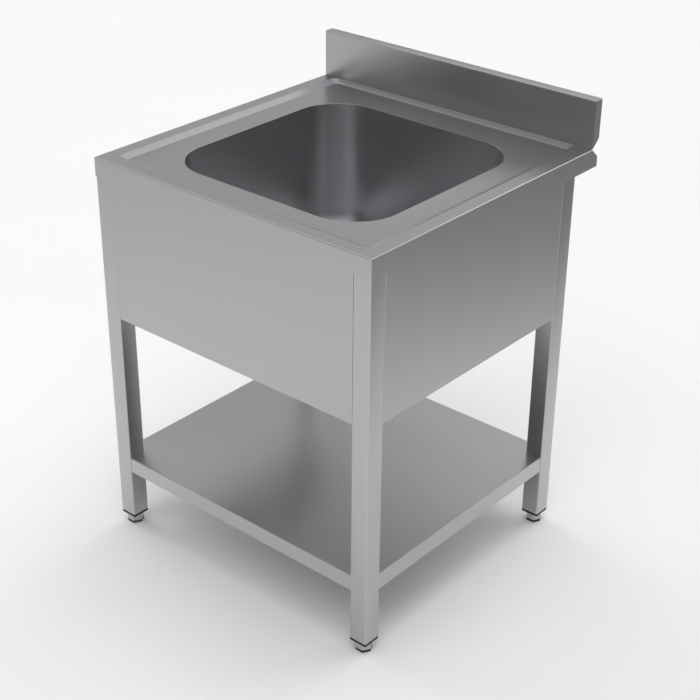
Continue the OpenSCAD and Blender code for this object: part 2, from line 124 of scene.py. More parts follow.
class Nodes:
    """A node tree whose nodes are added and linked by name."""

    prefix = "ShaderNode"

    def __init__(self, tree: bpy.types.NodeTree) -> None:
        """Starts with the tree, emptied."""
        self.tree = tree
        tree.nodes.clear()

    def add(self, kind: str, values: dict | None = None, **settings: object) -> bpy.types.Node:
        """Adds a node.

        Args:
            kind: the node's type, which may leave out the prefix.
            values: numbers, colours, vectors or output sockets for its inputs, by name or place.
            settings: its own properties.

        Returns:
            The new node.
        """
        node = self.tree.nodes.new(kind if "Node" in kind else self.prefix + kind)
        for key, value in settings.items():
            setattr(node, key, value)
        for key, value in (values or {}).items():
            if isinstance(value, Socket):
                self.tree.links.new(value, node.inputs[key])
            else:
                node.inputs[key].default_value = value
        return node

    def calc(self, operation: str, first: object, second: object = 0.0,
             label: str = "") -> Socket:
        """Works out a number from two numbers or sockets."""
        return self.add("ShaderNodeMath", {0: first, 1: second}, operation=operation,
                        label=label).outputs[0]

    def dot(self, vector: Socket, along: Sequence[float]) -> Socket:
        """Works out how far a vector goes along a direction."""
        return self.add("ShaderNodeVectorMath", {0: vector, 1: along},
                        operation="DOT_PRODUCT").outputs["Value"]

    def ramp(self, value: Socket, span: tuple[float, float], out: tuple[float, float],
             ease: str = "LINEAR") -> Socket:
        """Maps a number from one span to another, held at both ends.

        Args:
            value: the socket to map.
            span: the two values that it is mapped between.
            out: what these become.
            ease: how it goes from one to the other.

        Returns:
            The mapped number's socket.
        """
        node = self.add("MapRange", {0: value, 1: span[0], 2: span[1], 3: out[0], 4: out[1]},
                        interpolation_type=ease)
        return node.outputs[0]


class Graph(Nodes):
    """A material's nodes."""

    def __init__(self, name: str) -> None:
        """Starts an empty material.

        Args:
            name: the material's name.
        """
        self.material = bpy.data.materials.new(name)
        self.material.use_nodes = True
        super().__init__(self.material.node_tree)

    def mix(self, share: object, first: object, second: object) -> Socket:
        """Mixes two colours.

        Args:
            share: the second colour's share, a number or a socket.
            first: the first colour, a socket or its red, green and blue.
            second: the second colour, in the same way.

        Returns:
            The mixed colour's socket.
        """
        first, second = (colour if isinstance(colour, Socket) else (*colour, 1.0)
                         for colour in (first, second))
        return self.add("Mix", {0: share, 6: first, 7: second}, data_type="RGBA").outputs[2]

    def looks(self, normal: Socket, axis: str) -> Socket:
        """Works out whether a normal is mostly along an axis, either way."""
        part = self.calc("ABSOLUTE", self.add("SeparateXYZ", {0: normal}).outputs[axis])
        return self.calc("GREATER_THAN", part, STEEP)

    def finish(self, shader: bpy.types.Node) -> bpy.types.Material:
        """Ends the material in a shader's first output."""
        self.add("OutputMaterial", {"Surface": shader.outputs[0]})
        return self.material


@dataclass(frozen=True)
class SteelFinish:
    """Brushed, drawn or turned steel."""

    name: str
    grain: Grain
    colour: Point = (0.486, 0.495, 0.507)
    roughness: float = 0.30
    anisotropy: float = 0.45
    streaks_per_m: float = 1500.0
    broad_share: float = 0.16
    streak_rough: float = 0.012
    streak_tint: float = 0.006
    streak_bump: float = 0.0000006
    haze_rough: float = 0.012
    haze_per_m: float = 4.0
    folds_down_sides: bool = False
    tube: bool = False

    def _streaks(self, graph: Graph, place: Socket, stretch: Point, width: float) -> Socket:
        """Noise drawn out along the grain.

        Args:
            graph: the material's nodes.
            place: object coordinates.
            stretch: how little the noise changes along each axis.
            width: streaks in a metre across the grain.

        Returns:
            The noise's value.
        """
        scale = tuple(width * share for share in stretch)
        drawn = graph.add("Mapping", {"Vector": place, "Scale": scale})
        noise = graph.add("TexNoise", {"Vector": drawn.outputs[0], "Scale": 1.0,
                                       "Detail": 3.0, "Roughness": 0.6})
        return noise.outputs[0]

    def _grain(self, graph: Graph, place: Socket, stretch: Point) -> Socket:
        """Fine and broad streaks together.

        Args:
            graph: the material's nodes.
            place: object coordinates.
            stretch: how little the noise changes along each axis.

        Returns:
            Their value.
        """
        fine = self._streaks(graph, place, stretch, self.streaks_per_m)
        broad = self._streaks(graph, place, stretch, self.streaks_per_m * self.broad_share)
        return graph.calc("MULTIPLY", graph.calc("ADD", fine, broad), 0.5)

    def _across(self, graph: Graph, normal: Socket) -> Socket:
        """Direction across the grain in the surface, along which highlights are drawn out.

        Args:
            graph: the material's nodes.
            normal: the surface's normal.

        Returns:
            The direction's socket.
        """
        upright = Vector((0, 0, 1))
        if self.tube:
            upright = graph.add("VectorMath", {0: normal, 1: upright},
                                operation="CROSS_PRODUCT").outputs[0]
        return graph.add("Mix", {0: graph.looks(normal, "Z"), 4: upright,
                                 5: Vector((0, 1, 0))}, data_type="VECTOR").outputs[1]

    def material(self) -> bpy.types.Material:
        """Builds the steel's material.

        Returns:
            The material.
        """
        graph = Graph(self.name)
        place = graph.add("TexCoord").outputs["Object"]
        normal = graph.add("NewGeometry").outputs["True Normal"]
        streak = self._grain(graph, place, self.grain.value)
        if self.folds_down_sides:
            upright = self._grain(graph, place, (1.0, self.grain.value[0], 1.0))
            streak = graph.add("Mix", {0: graph.looks(normal, "X"), 2: streak,
                                       3: upright}).outputs[0]
        haze = graph.add("TexNoise", {"Vector": place, "Scale": self.haze_per_m,
                                      "Detail": 2.0}).outputs[0]
        level = graph.ramp(haze, NOISE_SPAN, (self.roughness - self.haze_rough,
                                              self.roughness + self.haze_rough))
        rough = graph.calc("ADD", level, graph.ramp(
            streak, NOISE_SPAN, (-self.streak_rough, self.streak_rough)))
        tint = graph.mix(graph.ramp(streak, NOISE_SPAN, (0.0, 1.0)),
                         [part * (1 - self.streak_tint) for part in self.colour],
                         [part * (1 + self.streak_tint) for part in self.colour])
        bump = graph.add("Bump", {"Strength": 1.0, "Distance": self.streak_bump,
                                  "Height": streak})
        return graph.finish(graph.add("BsdfPrincipled", {
            "Base Color": tint, "Metallic": 1.0, "Roughness": rough,
            "Anisotropic": self.anisotropy, "Normal": bump.outputs[0],
            "Tangent": self._across(graph, normal)}))


@dataclass(frozen=True)
class MouldedFinish:
    """Moulded plastic or rubber, with a faint orange-peel surface."""

    name: str
    colour: Point
    roughness: float
    shine: float = 0.5
    grain_per_m: float = 1800.0
    grain_bump: float = 0.00004
    peel_strength: float = 0.6
    haze_per_m: float = 60.0
    haze_rough: float = 0.06
    haze_tint: tuple[float, float] = (0.85, 1.2)

    def material(self) -> bpy.types.Material:
        """Builds the moulding's material.

        Returns:
            The material.
        """
        graph = Graph(self.name)
        place = graph.add("TexCoord").outputs["Object"]
        peel = graph.add("TexNoise", {"Vector": place, "Scale": self.grain_per_m,
                                      "Detail": 2.0}).outputs[0]
        haze = graph.add("TexNoise", {"Vector": place, "Scale": self.haze_per_m,
                                      "Detail": 3.0}).outputs[0]
        tint = graph.mix(haze, *([min(1.0, part * share) for part in self.colour]
                                 for share in self.haze_tint))
        bump = graph.add("Bump", {"Strength": self.peel_strength, "Distance": self.grain_bump,
                                  "Height": peel})
        rough = graph.ramp(haze, NOISE_SPAN, (self.roughness - self.haze_rough,
                                              self.roughness + self.haze_rough))
        return graph.finish(graph.add("BsdfPrincipled", {
            "Base Color": tint, "Roughness": rough, "Specular IOR Level": self.shine,
            "Normal": bump.outputs[0]}))


class Finish(Enum):
    """The finishes of the sink table, by the record's material slots."""

    BRUSHED_SHEET = SteelFinish("brushed_sheet", Grain.ALONG_X, folds_down_sides=True)
    DRAWN_SHEET = SteelFinish("drawn_sheet", Grain.ALONG_Z, roughness=0.33, anisotropy=0.25)
    SQUARE_TUBE = SteelFinish("square_tube", Grain.ALONG_Z, tube=True)
    TURNED_STEEL = SteelFinish("turned_steel", Grain.NONE, (0.52, 0.52, 0.53), 0.2,
                               anisotropy=0.0)
    TURNED_BRASS = SteelFinish("turned_brass", Grain.NONE, (0.72, 0.56, 0.28), 0.25,
                               anisotropy=0.0)
    BLACK_PLASTIC = MouldedFinish("black_plastic", (0.007, 0.007, 0.0075), 0.45, shine=0.25)
    WASTE_PLASTIC = MouldedFinish("waste_plastic", (0.78, 0.78, 0.75), 0.45)
    SEAL_RUBBER = MouldedFinish("seal_rubber", (0.02, 0.02, 0.02), 0.75)


class Finishes:
    """The built materials, one for each finish."""

    def __init__(self) -> None:
        """Builds every finish's material."""
        self._built = {finish: finish.value.material() for finish in Finish}

    def of(self, finish: Finish) -> bpy.types.Material:
        """Gives a finish's material."""
        return self._built[finish]

    def dress_nodes(self) -> None:
        """Gives each solid of the frame the material of its slot."""
        slots = {row["node"]: row["material_slot"] for row in frame["record"]["subparts"]}
        for name, solid in frame["nodes"].items():
            finish = Finish[slots[name].upper()]
            solid.data.materials.clear()
            solid.data.materials.append(self.of(finish))
        LOG.info("dressed %d solids of the frame", len(slots))

    def dress(self, piece: bpy.types.Object, finish: Finish, body: str, *nodes: str) -> None:
        """Gives a piece its material, body and slot, and hides the solids that it stands for.

        Args:
            piece: the finished piece.
            finish: its finish.
            body: the body that it moves with.
            nodes: the solids that it stands for.
        """
        piece.data.materials.clear()
        piece.data.materials.append(self.of(finish))
        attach(piece, body)
        if nodes:
            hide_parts(*nodes)
        LOG.info("%s: %d faces, on %s", piece.name, len(piece.data.polygons), body)


@dataclass
class SubAssembly:
    """Pieces of the sink table that are built and dressed together."""

    finishes: Finishes


class Sheet:
    """Rings of points joined into a sheet, outer ring to inner ring with the face upwards."""

    def __init__(self) -> None:
        """Starts without a point."""
        self.mesh = bmesh.new()

    def ring(self, points: Iterable[Sequence[float]]) -> list[bmesh.types.BMVert]:
        """Adds one ring of points."""
        return [self.mesh.verts.new(point) for point in points]

    def join(self, first: list, second: list, leave_out: Sequence[int] = ()) -> None:
        """Fills the strip between two rings of equal length.

        Args:
            first: the outer or lower ring.
            second: the inner or upper ring.
            leave_out: places in the strip that stay open.
        """
        for i in range(len(first)):
            if i not in leave_out:
                j = (i + 1) % len(first)
                self.mesh.faces.new((first[i], first[j], second[j], second[i]))

    def join_all(self, rings: Sequence[Iterable[Sequence[float]]],
                 leave_out: Sequence[int] = ()) -> list[list[bmesh.types.BMVert]]:
        """Adds rings and joins each to the next.

        Args:
            rings: the rings' points.
            leave_out: places in each strip that stay open.

        Returns:
            The rings' vertices.
        """
        made = [self.ring(points) for points in rings]
        for first, second in zip(made, made[1:]):
            self.join(first, second, leave_out)
        return made

    def fill(self, points: Iterable[Sequence[float]]) -> None:
        """Adds one flat face, its points counter-clockwise as seen from outside."""
        self.mesh.faces.new(self.ring(points))

    def piece(self, name: str, thickness: float) -> bpy.types.Object:
        """Turns the rings into an object.

        Args:
            name: the piece's name.
            thickness: how far the sheet goes back from its face.

        Returns:
            The piece, without a material.
        """
        bmesh.ops.remove_doubles(self.mesh, verts=self.mesh.verts, dist=MERGE)
        flat = [face for face in self.mesh.faces if face.calc_area() < SLIVER]
        bmesh.ops.delete(self.mesh, geom=flat, context="FACES_ONLY")
        bare = [edge for edge in self.mesh.edges if not edge.link_faces]
        bmesh.ops.delete(self.mesh, geom=bare, context="EDGES")
        for face in self.mesh.faces:
            face.smooth = True
        self.mesh.edges.index_update()
        rims = [edge.index for edge in self.mesh.edges if edge.is_boundary]
        data = meshed(name, self.mesh)
        data.set_sharp_from_angle(angle=CRISP)
        for i in rims:
            data.edges[i].use_edge_sharp = True
        piece = linked(name, data)
        solid = piece.modifiers.new("thickness", "SOLIDIFY")
        solid.thickness = thickness
        solid.offset = -1.0
        solid.use_even_offset = True
        return piece


@dataclass(frozen=True)
class Outline:
    """Rounded rectangle in plan, its points counter-clockwise from the front right corner."""

    half_x: float
    front: float
    rear: float
    radius: float
    steps: int = 24

    def grown(self, by: float) -> "Outline":
        """Gives the outline with every side moved outwards."""
        return Outline(self.half_x + by, self.front - by, self.rear + by,
                       max(self.radius + by, 0.0), self.steps)

    def at(self, z: float) -> list[Point]:
        """Draws the outline at a height.

        Args:
            z: the height.

        Returns:
            Its points.
        """
        r = self.radius
        ends = ((1, self.front + r, -90), (1, self.rear - r, 0),
                (-1, self.rear - r, 90), (-1, self.front + r, 180))
        return [(side * (self.half_x - r) + r * math.cos(math.radians(start + step)),
                 y + r * math.sin(math.radians(start + step)), z)
                for side, y, start in ends
                for step in (90 * i / self.steps for i in range(self.steps + 1))]


BOWL_OPENING = Outline(0.250, -0.262, 0.238, 0.100)


@dataclass
class Worktop(SubAssembly):
    """Folded worktop: flanges, rim, recessed deck with its bowl opening, and splashback."""

    half_w: float = 0.350
    front: float = -0.350
    rear: float = 0.350
    rim_z: float = 0.850
    flange_z: float = 0.810
    bend_r: float = 0.002
    corner_r: float = 0.0012
    rear_r: float = 0.004
    rim_w: float = 0.030
    slope_w: float = 0.015
    recess: float = 0.008
    recess_r: float = 0.021
    rim_fillet: float = 0.0008
    foot_fillet: float = 0.0015
    deck_curve: float = 0.0009
    deck_curve_w: float = 0.036
    splash_y: float = 0.326
    splash_z: float = 0.950
    undercut: float = 0.022
    sheet: float = 0.001
    lip_r: float = 0.0003
    hold: float = 0.0001  # points this near the splashback stay on its foot
    opening: Outline = BOWL_OPENING
    turns: int = 5

    @property
    def flange_heights(self) -> list[float]:
        """Heights of the flange's rows of points, from its lower edge to the bend."""
        bend_z = self.rim_z - self.bend_r
        return [self.flange_z, self.flange_z + self.sheet, bend_z - self.sheet, bend_z]

    def _plan(self, inset: float, radius: float) -> Outline:
        """Gives the worktop's outline, moved in at the front and the sides."""
        return Outline(self.half_w - inset, self.front + inset, self.splash_y, radius)

    def _rim(self) -> list[list[Point]]:
        """Draws the flange, the bend and the flat rim.

        Returns:
            The rings from the flange's lower edge to the rim's inner edge.
        """
        outer = self._plan(0.0, self.corner_r)
        rings = [outer.at(z) for z in self.flange_heights[:-1]]
        for i, (inset, drop) in enumerate(quarter(self.turns)):
            ring = self._plan(self.bend_r * inset, self.corner_r * (1 - i / self.turns))
            rings.append(ring.at(self.rim_z - self.bend_r * drop))
        rings.append(self._plan(self.bend_r + self.sheet, 0.0).at(self.rim_z))
        return [self._square_rear(ring) for ring in rings]

    def _square_rear(self, ring: list[Point]) -> list[Point]:
        """Draws the arcs of a ring's two rear corners out into the square corner.

        Args:
            ring: the ring's points.

        Returns:
            The ring with square rear corners.
        """
        steps = self.opening.steps + 1
        corners = {1: (ring[steps][0], self.splash_y), 2: (ring[3 * steps - 1][0], self.splash_y)}
        return [(*corners[i // steps], z) if i // steps in corners else (x, y, z)
                for i, (x, y, z) in enumerate(ring)]

    def _fillet(self, radius: float, top: bool) -> list[tuple[float, float]]:
        """Draws the fillet at the slope's top or foot.

        Args:
            radius: the fillet's radius.
            top: whether it is the one at the rim.

        Returns:
            Pairs of growth from the fold and height from the fold, outer first.
        """
        slope = math.atan2(self.recess, self.slope_w)
        run = radius * math.tan(slope / 2)
        pairs = []
        for i in range(self.turns + 1):
            turn = slope * i / self.turns
            across, rise = run - radius * math.sin(turn), radius * (1 - math.cos(turn))
            pairs.append((across, -rise) if top else (-across, rise))
        return pairs if top else pairs[::-1]

    def _held(self, ring: list[Point]) -> list[Point]:
        """Gives a ring whose rear points stay on the splashback's foot."""
        return [(x, y, z) if y < self.splash_y - self.hold else (x, self.splash_y, self.rim_z)
                for x, y, z in ring]

    def _recess(self) -> list[list[Point]]:
        """Draws the recess.

        Returns:
            The rings from the rim down the slope and over the deck to the bowl's opening.
        """
        fold = self._plan(self.rim_w, self.recess_r)
        foot = fold.grown(-self.slope_w)
        rings = [self._held(fold.grown(by).at(self.rim_z + rise))
                 for by, rise in [(self.rim_fillet, 0.0)] + self._fillet(self.rim_fillet, True)]
        low = self.rim_z - self.recess
        foot_fillet = self._fillet(self.foot_fillet, False)
        rings += [foot.grown(by).at(low + rise + self.deck_curve) for by, rise in foot_fillet]
        inner = foot.grown(foot_fillet[-1][0])
        for i in range(1, self.turns + 1):
            share = i / self.turns
            rings.append(inner.grown(-self.deck_curve_w * share).at(
                low + self.deck_curve * (1 - share) ** 2))
        rings.append(self.opening.grown(2 * self.lip_r).at(low))
        for drop, out in quarter(self.turns):
            rings.append(self.opening.grown(self.lip_r * out).at(low - self.lip_r * drop))
        return rings + [self.opening.at(low - self.sheet)]

    def _flange_end(self, sheet: Sheet, side: int) -> None:
        """Adds the flange's end under the splashback, cut back at a slant.

        Args:
            sheet: the worktop's sheet.
            side: 1 at the right, -1 at the left.
        """
        x, back = side * self.half_w, self.rear - self.rear_r
        fall = self.undercut / (self.rear - self.splash_y)
        edge = self.flange_heights
        points = [(x, back, self.flange_z),
                  (x, back, self.rim_z - fall * (back - self.splash_y)),
                  (x, self.splash_y + self.bend_r / fall, edge[-1])]
        points += [(x, self.splash_y, z) for z in reversed(edge)]
        sheet.fill(points if side > 0 else points[::-1])

    def _splash(self) -> list[list[Point]]:
        """Draws the splashback.

        Returns:
            Its side views from left to right, round its rear corners.
        """
        stations = [self.half_w - self.rear_r * inset for inset, _ in quarter(self.turns)]
        places = [-x for x in stations] + stations[::-1]
        rise = self.undercut / (self.rear - self.splash_y)
        wall_z = self.splash_z - self.bend_r - self.sheet
        views = []
        for x in places:
            over = max(abs(x) - (self.half_w - self.rear_r), 0.0)
            back = self.rear - self.rear_r + math.sqrt(max(self.rear_r ** 2 - over ** 2, 0.0))
            view = [(self.splash_y, self.rim_z),
                    (back, self.rim_z + rise * (back - self.splash_y)), (back, wall_z)]
            for y, start in ((back - self.bend_r, 0), (self.splash_y + self.bend_r, 90)):
                for i in range(self.turns + 1):
                    turn = math.radians(start + 90 * i / self.turns)
                    view.append((y + self.bend_r * math.cos(turn),
                                 self.splash_z - self.bend_r * (1 - math.sin(turn))))
            view.append((self.splash_y, wall_z))
            views.append([(x, y, z) for y, z in view])
        return views

    def build(self) -> None:
        """Builds the deck and the splashback in the place of the frame's solid."""
        deck, splash = Sheet(), Sheet()
        rear_side = 2 * (self.opening.steps + 1) - 1
        rim = deck.join_all(self._rim(), leave_out=(rear_side,))
        inner = deck.join_all(self._recess())
        deck.join(rim[-1], inner[0], leave_out=(rear_side,))
        for side in (1, -1):
            self._flange_end(deck, side)
        splash.join_all(self._splash())
        for name, sheet in (("worktop_sheet", deck), ("splashback_sheet", splash)):
            self.finishes.dress(sheet.piece(name, self.sheet), Finish.BRUSHED_SHEET, TABLE,
                                "worktop")


@dataclass
class Bowl(SubAssembly):
    """Deep-drawn bowl with its weld flange, round floor edge and sunk waste seat."""

    opening: Outline = BOWL_OPENING
    top_z: float = 0.841
    floor_z: float = 0.542
    floor_r: float = 0.060
    wall_foot: float = 1.05  # height of the wall's straight foot, in floor radii
    fall_r: float = 0.110
    fall_rim: float = 1.08  # radius where the floor is still level, in fall radii
    fall: float = 0.004
    fall_ease: float = 0.0004
    seat_r: float = 0.0365
    seat_ease_w: float = 0.006
    seat_rim_w: float = 0.002
    seat_rim_r: float = 0.001
    seat_turns: int = 4
    seat_z: float = 0.5353
    hole_r: float = 0.026
    flange_w: float = 0.012
    sheet: float = 0.0012
    turns: int = 14

    @property
    def middle(self) -> float:
        """The waste's place from front to back."""
        return (self.opening.front + self.opening.rear) / 2

    def _round(self, radius: float, z: float) -> list[Point]:
        """Gives a round ring about the waste with as many points as the opening's outline."""
        return Outline(radius, self.middle - radius, self.middle + radius, radius,
                       self.opening.steps).at(z)

    def build(self) -> None:
        """Builds the bowl in the place of the frame's solid."""
        rings = [self.opening.grown(self.flange_w).at(self.top_z), self.opening.at(self.top_z)]
        rings.append(self.opening.at(self.floor_z + self.floor_r * self.wall_foot))
        for inset, rise in quarter(self.turns):
            rings.append(self.opening.grown(-self.floor_r * inset).at(
                self.floor_z + self.floor_r * rise))
        for radius, drop in ((self.fall_r * self.fall_rim, 0.0), (self.fall_r, self.fall_ease),
                             (self.seat_r + self.seat_ease_w, self.fall - self.fall_ease),
                             (self.seat_r + self.seat_rim_w, self.fall)):
            rings.append(self._round(radius, self.floor_z - drop))
        edge = self.floor_z - self.fall
        for drop, out in quarter(self.seat_turns):
            rings.append(self._round(self.seat_r + self.seat_rim_r * out,
                                     edge - self.seat_rim_r * drop))
        rings += [self._round(self.seat_r, self.seat_z), self._round(self.hole_r, self.seat_z)]
        sheet = Sheet()
        sheet.join_all(rings)
        self.finishes.dress(sheet.piece("drawn_bowl", self.sheet), Finish.DRAWN_SHEET, TABLE,
                            "bowl")


class Recipe(Nodes):
    """A Geometry Nodes tree built in the script, with named sizes as its inputs."""

    prefix = "GeometryNode"

    def __init__(self, name: str, sizes: dict[str, float]) -> None:
        """Starts a tree.

        Args:
            name: the tree's name.
            sizes: its inputs and their values.
        """
        super().__init__(bpy.data.node_groups.new(name, "GeometryNodeTree"))
        self.sizes = sizes
        face = self.tree.interface
        for way in ("INPUT", "OUTPUT"):
            face.new_socket("Geometry", in_out=way, socket_type="NodeSocketGeometry")
        for size in sizes:
            face.new_socket(size, in_out="INPUT", socket_type="NodeSocketFloat")
        face.new_socket("Material", in_out="INPUT", socket_type="NodeSocketMaterial")
        self.given = self.add("NodeGroupInput").outputs

    def vector(self, x: object = 0.0, y: object = 0.0, z: object = 0.0) -> Socket:
        """Puts three numbers or sockets together as a vector."""
        return self.add("ShaderNodeCombineXYZ", {0: x, 1: y, 2: z}).outputs[0]

    def joined(self, *parts: Socket) -> Socket:
        """Joins geometry.

        Args:
            parts: the geometry, in order.

        Returns:
            The joined geometry's socket.
        """
        node = self.add("JoinGeometry")
        for part in reversed(parts):
            self.tree.links.new(part, node.inputs[0])
        return node.outputs[0]

    def close(self, geometry: Socket) -> None:
        """Ends the tree in Realize Instances and Set Material.

        Args:
            geometry: what the tree makes.
        """
        real = self.add("RealizeInstances", {0: geometry})
        dressed = self.add("SetMaterial", {0: real.outputs[0], "Material": self.given["Material"]})
        self.add("NodeGroupOutput", {0: dressed.outputs[0]})

    def make(self, name: str, material: bpy.types.Material, place: Point = (0.0, 0.0, 0.0),
             paths: bpy.types.Mesh | None = None) -> bpy.types.Object:
        """Runs the tree once and keeps its result as a plain mesh.

        Args:
            name: the new object's name.
            material: its material.
            place: where its origin's shape is moved to.
            paths: lines that the tree follows, where it has any.

        Returns:
            The object, at the origin, with its place in its mesh.
        """
        host = linked(name + "_host", paths or bpy.data.meshes.new(name + "_host"))
        live = host.modifiers.new("recipe", "NODES")
        live.node_group = self.tree
        values = {**self.sizes, "Material": material}
        for item in self.tree.interface.items_tree:
            if item.in_out == "INPUT" and item.name in values:
                live[item.identifier] = values[item.name]
        graph = bpy.context.evaluated_depsgraph_get()
        data = bpy.data.meshes.new_from_object(host.evaluated_get(graph))
        host.modifiers.remove(live)
        bpy.data.objects.remove(host)
        data.name = name
        data.transform(Matrix.Translation(place))
        data.set_sharp_from_angle(angle=CRISP)
        return linked(name, data)


@dataclass
class Legs(SubAssembly):
    """The four legs of square tube."""

    width: float = 0.040
    wall: float = 0.0015
    corner_r: float = 0.0025
    low_z: float = 0.028
    high_z: float = 0.841
    places: dict[str, tuple[float, float]] = field(default_factory=lambda: {
        "front_left": (-0.329, -0.329), "front_right": (0.329, -0.329),
        "rear_left": (-0.329, 0.253), "rear_right": (0.329, 0.253)})

    def _recipe(self) -> Recipe:
        """Builds the tree of a tube that stands on its origin.

        Returns:
            The tree.
        """
        tree = Recipe("square_tube_recipe", {
            "Width": self.width, "Wall": self.wall, "Corner radius": self.corner_r,
            "Length": self.high_z - self.low_z})
        length, radius = tree.given["Length"], tree.given["Corner radius"]
        outlines = []
        for walls in (0.0, 1.0):
            inset = tree.calc("MULTIPLY", tree.given["Wall"], walls)
            width = tree.calc("SUBTRACT", tree.given["Width"], tree.calc("MULTIPLY", inset, 2.0))
            square = tree.add("CurvePrimitiveQuadrilateral", {"Width": width, "Height": width})
            outlines.append(tree.add("FilletCurve", {
                "Curve": square.outputs[0], "Count": 6,
                "Radius": tree.calc("SUBTRACT", radius, inset)}, mode="POLY").outputs[0])
        ends = tree.add("FillCurve", {0: tree.joined(*outlines)}).outputs[0]
        raised = tree.add("ExtrudeMesh", {
            "Mesh": ends, "Offset": tree.vector(z=1.0), "Offset Scale": length,
            "Individual": False}, mode="FACES").outputs[0]
        foot = tree.add("FlipFaces", {0: ends}).outputs[0]
        closed = tree.add("MergeByDistance", {
            0: tree.joined(raised, foot), "Distance": MERGE}).outputs[0]
        area = tree.add("InputMeshFaceArea").outputs[0]
        small = tree.add("FunctionNodeCompare", {
            0: area, 1: tree.calc("MULTIPLY", length, radius)}, operation="LESS_THAN")
        tree.close(tree.add("SetShadeSmooth", {
            0: closed, "Shade Smooth": small.outputs[0]}).outputs[0])
        return tree

    def build(self) -> None:
        """Builds the four legs in the place of the frame's solids."""
        recipe, finish = self._recipe(), Finish.SQUARE_TUBE
        for corner, (x, y) in self.places.items():
            leg = recipe.make("tube_leg_" + corner, self.finishes.of(finish), (x, y, self.low_z))
            self.finishes.dress(leg, finish, TABLE, "leg_" + corner)


@dataclass
class Thread(SubAssembly):
    """Outer thread turned or moulded on a solid of the frame."""

    node: str
    axis: tuple[float, float]
    low_z: float
    high_z: float
    radius: float
    depth: float
    pitch: float
    steps: int = 24
    flank: float = 0.49  # half the width of the ridge's base, in pitches
    sunk: float = 0.4  # how far that base lies under the root, in depths
    merge: float = 1e-7
    near_r: float = 2e-4  # how far off its radius a point lies on the thread
    near_z: float = 1e-5  # and how far past its ends

    def _ridge(self) -> Recipe:
        """Builds the tree of a triangular ridge wound round the Z axis from the origin up.

        Returns:
            The tree.
        """
        tree = Recipe("thread_recipe", {
            "Radius": self.radius - self.depth, "Depth": self.depth, "Pitch": self.pitch,
            "Height": self.high_z - self.low_z - self.pitch})
        radius, depth, pitch, height = (tree.given[name] for name in tree.sizes)
        path = tree.add("CurveSpiral", {
            "Resolution": self.steps, "Rotations": tree.calc("DIVIDE", height, pitch),
            "Start Radius": radius, "End Radius": radius, "Height": height}).outputs[0]
        path = tree.add("SetCurveNormal", {0: path}, mode="Z_UP").outputs[0]
        half = tree.calc("MULTIPLY", pitch, self.flank)
        root = tree.calc("MULTIPLY", depth, -self.sunk)
        low = tree.vector(root, tree.calc("MULTIPLY", half, -1.0))
        high, crest = tree.vector(root, half), tree.vector(depth)
        lines = [tree.add("CurvePrimitiveLine", {"Start": start, "End": end}).outputs[0]
                 for start, end in ((low, crest), (crest, high), (high, low))]
        ridges = [tree.add("CurveToMesh", {0: path, 1: line}).outputs[0] for line in lines]
        tree.close(tree.add("MergeByDistance", {
            0: tree.joined(*ridges), "Distance": self.merge}).outputs[0])
        return tree

    def _rooted(self, solid: bmesh.types.BMesh) -> None:
        """Draws the solid's threaded length in to the thread's root.

        Args:
            solid: the merged copy of the frame's solid.
        """
        x, y = self.axis
        for vert in solid.verts:
            away = Vector((vert.co.x - x, vert.co.y - y))
            if (abs(away.length - self.radius) < self.near_r
                    and self.low_z - self.near_z < vert.co.z < self.high_z + self.near_z):
                away *= (self.radius - self.depth) / away.length
                vert.co.x, vert.co.y = x + away.x, y + away.y

    def build(self, finish: Finish, body: str) -> None:
        """Cuts the solid's copy down to the thread's root and winds the ridge round it.

        Args:
            finish: the solid's finish.
            body: the body that it moves with.
        """
        ridge = self._ridge().make(self.node + "_ridge", self.finishes.of(finish),
                                   (*self.axis, self.low_z + self.pitch / 2))
        wound = bmesh.new()
        wound.from_mesh(ridge.data)
        bmesh.ops.holes_fill(wound, edges=wound.edges, sides=3)
        bmesh.ops.recalc_face_normals(wound, faces=wound.faces)
        solid = merged(self.node)
        self._rooted(solid)
        solid.from_mesh(meshed("wound_" + self.node, wound))
        bpy.data.objects.remove(ridge)
        name = "threaded_" + self.node
        self.finishes.dress(linked(name, meshed(name, solid)), finish, body, self.node)


@dataclass
class Threads(SubAssembly):
    """The feet's studs and the waste's outlet."""

    places: dict[str, tuple[float, float]]
    waste_y: float
    stud_low_z: float = 0.0222
    stud_high_z: float = 0.0692
    stud_r: float = 0.005
    stud_depth: float = 0.0008
    stud_pitch: float = 0.0015
    outlet_low_z: float = 0.4771
    outlet_high_z: float = 0.5021
    outlet_r: float = 0.0239
    outlet_depth: float = 0.0012
    outlet_pitch: float = 0.0023
    outlet_steps: int = 48

    def build(self) -> None:
        """Threads the four studs and the outlet."""
        for corner, axis in self.places.items():
            name = "foot_" + corner
            Thread(self.finishes, name, axis, self.stud_low_z, self.stud_high_z, self.stud_r,
                   self.stud_depth, self.stud_pitch).build(Finish.TURNED_STEEL, name)
        Thread(self.finishes, "waste_body", (0.0, self.waste_y), self.outlet_low_z,
               self.outlet_high_z, self.outlet_r, self.outlet_depth, self.outlet_pitch,
               self.outlet_steps).build(Finish.WASTE_PLASTIC, TABLE)


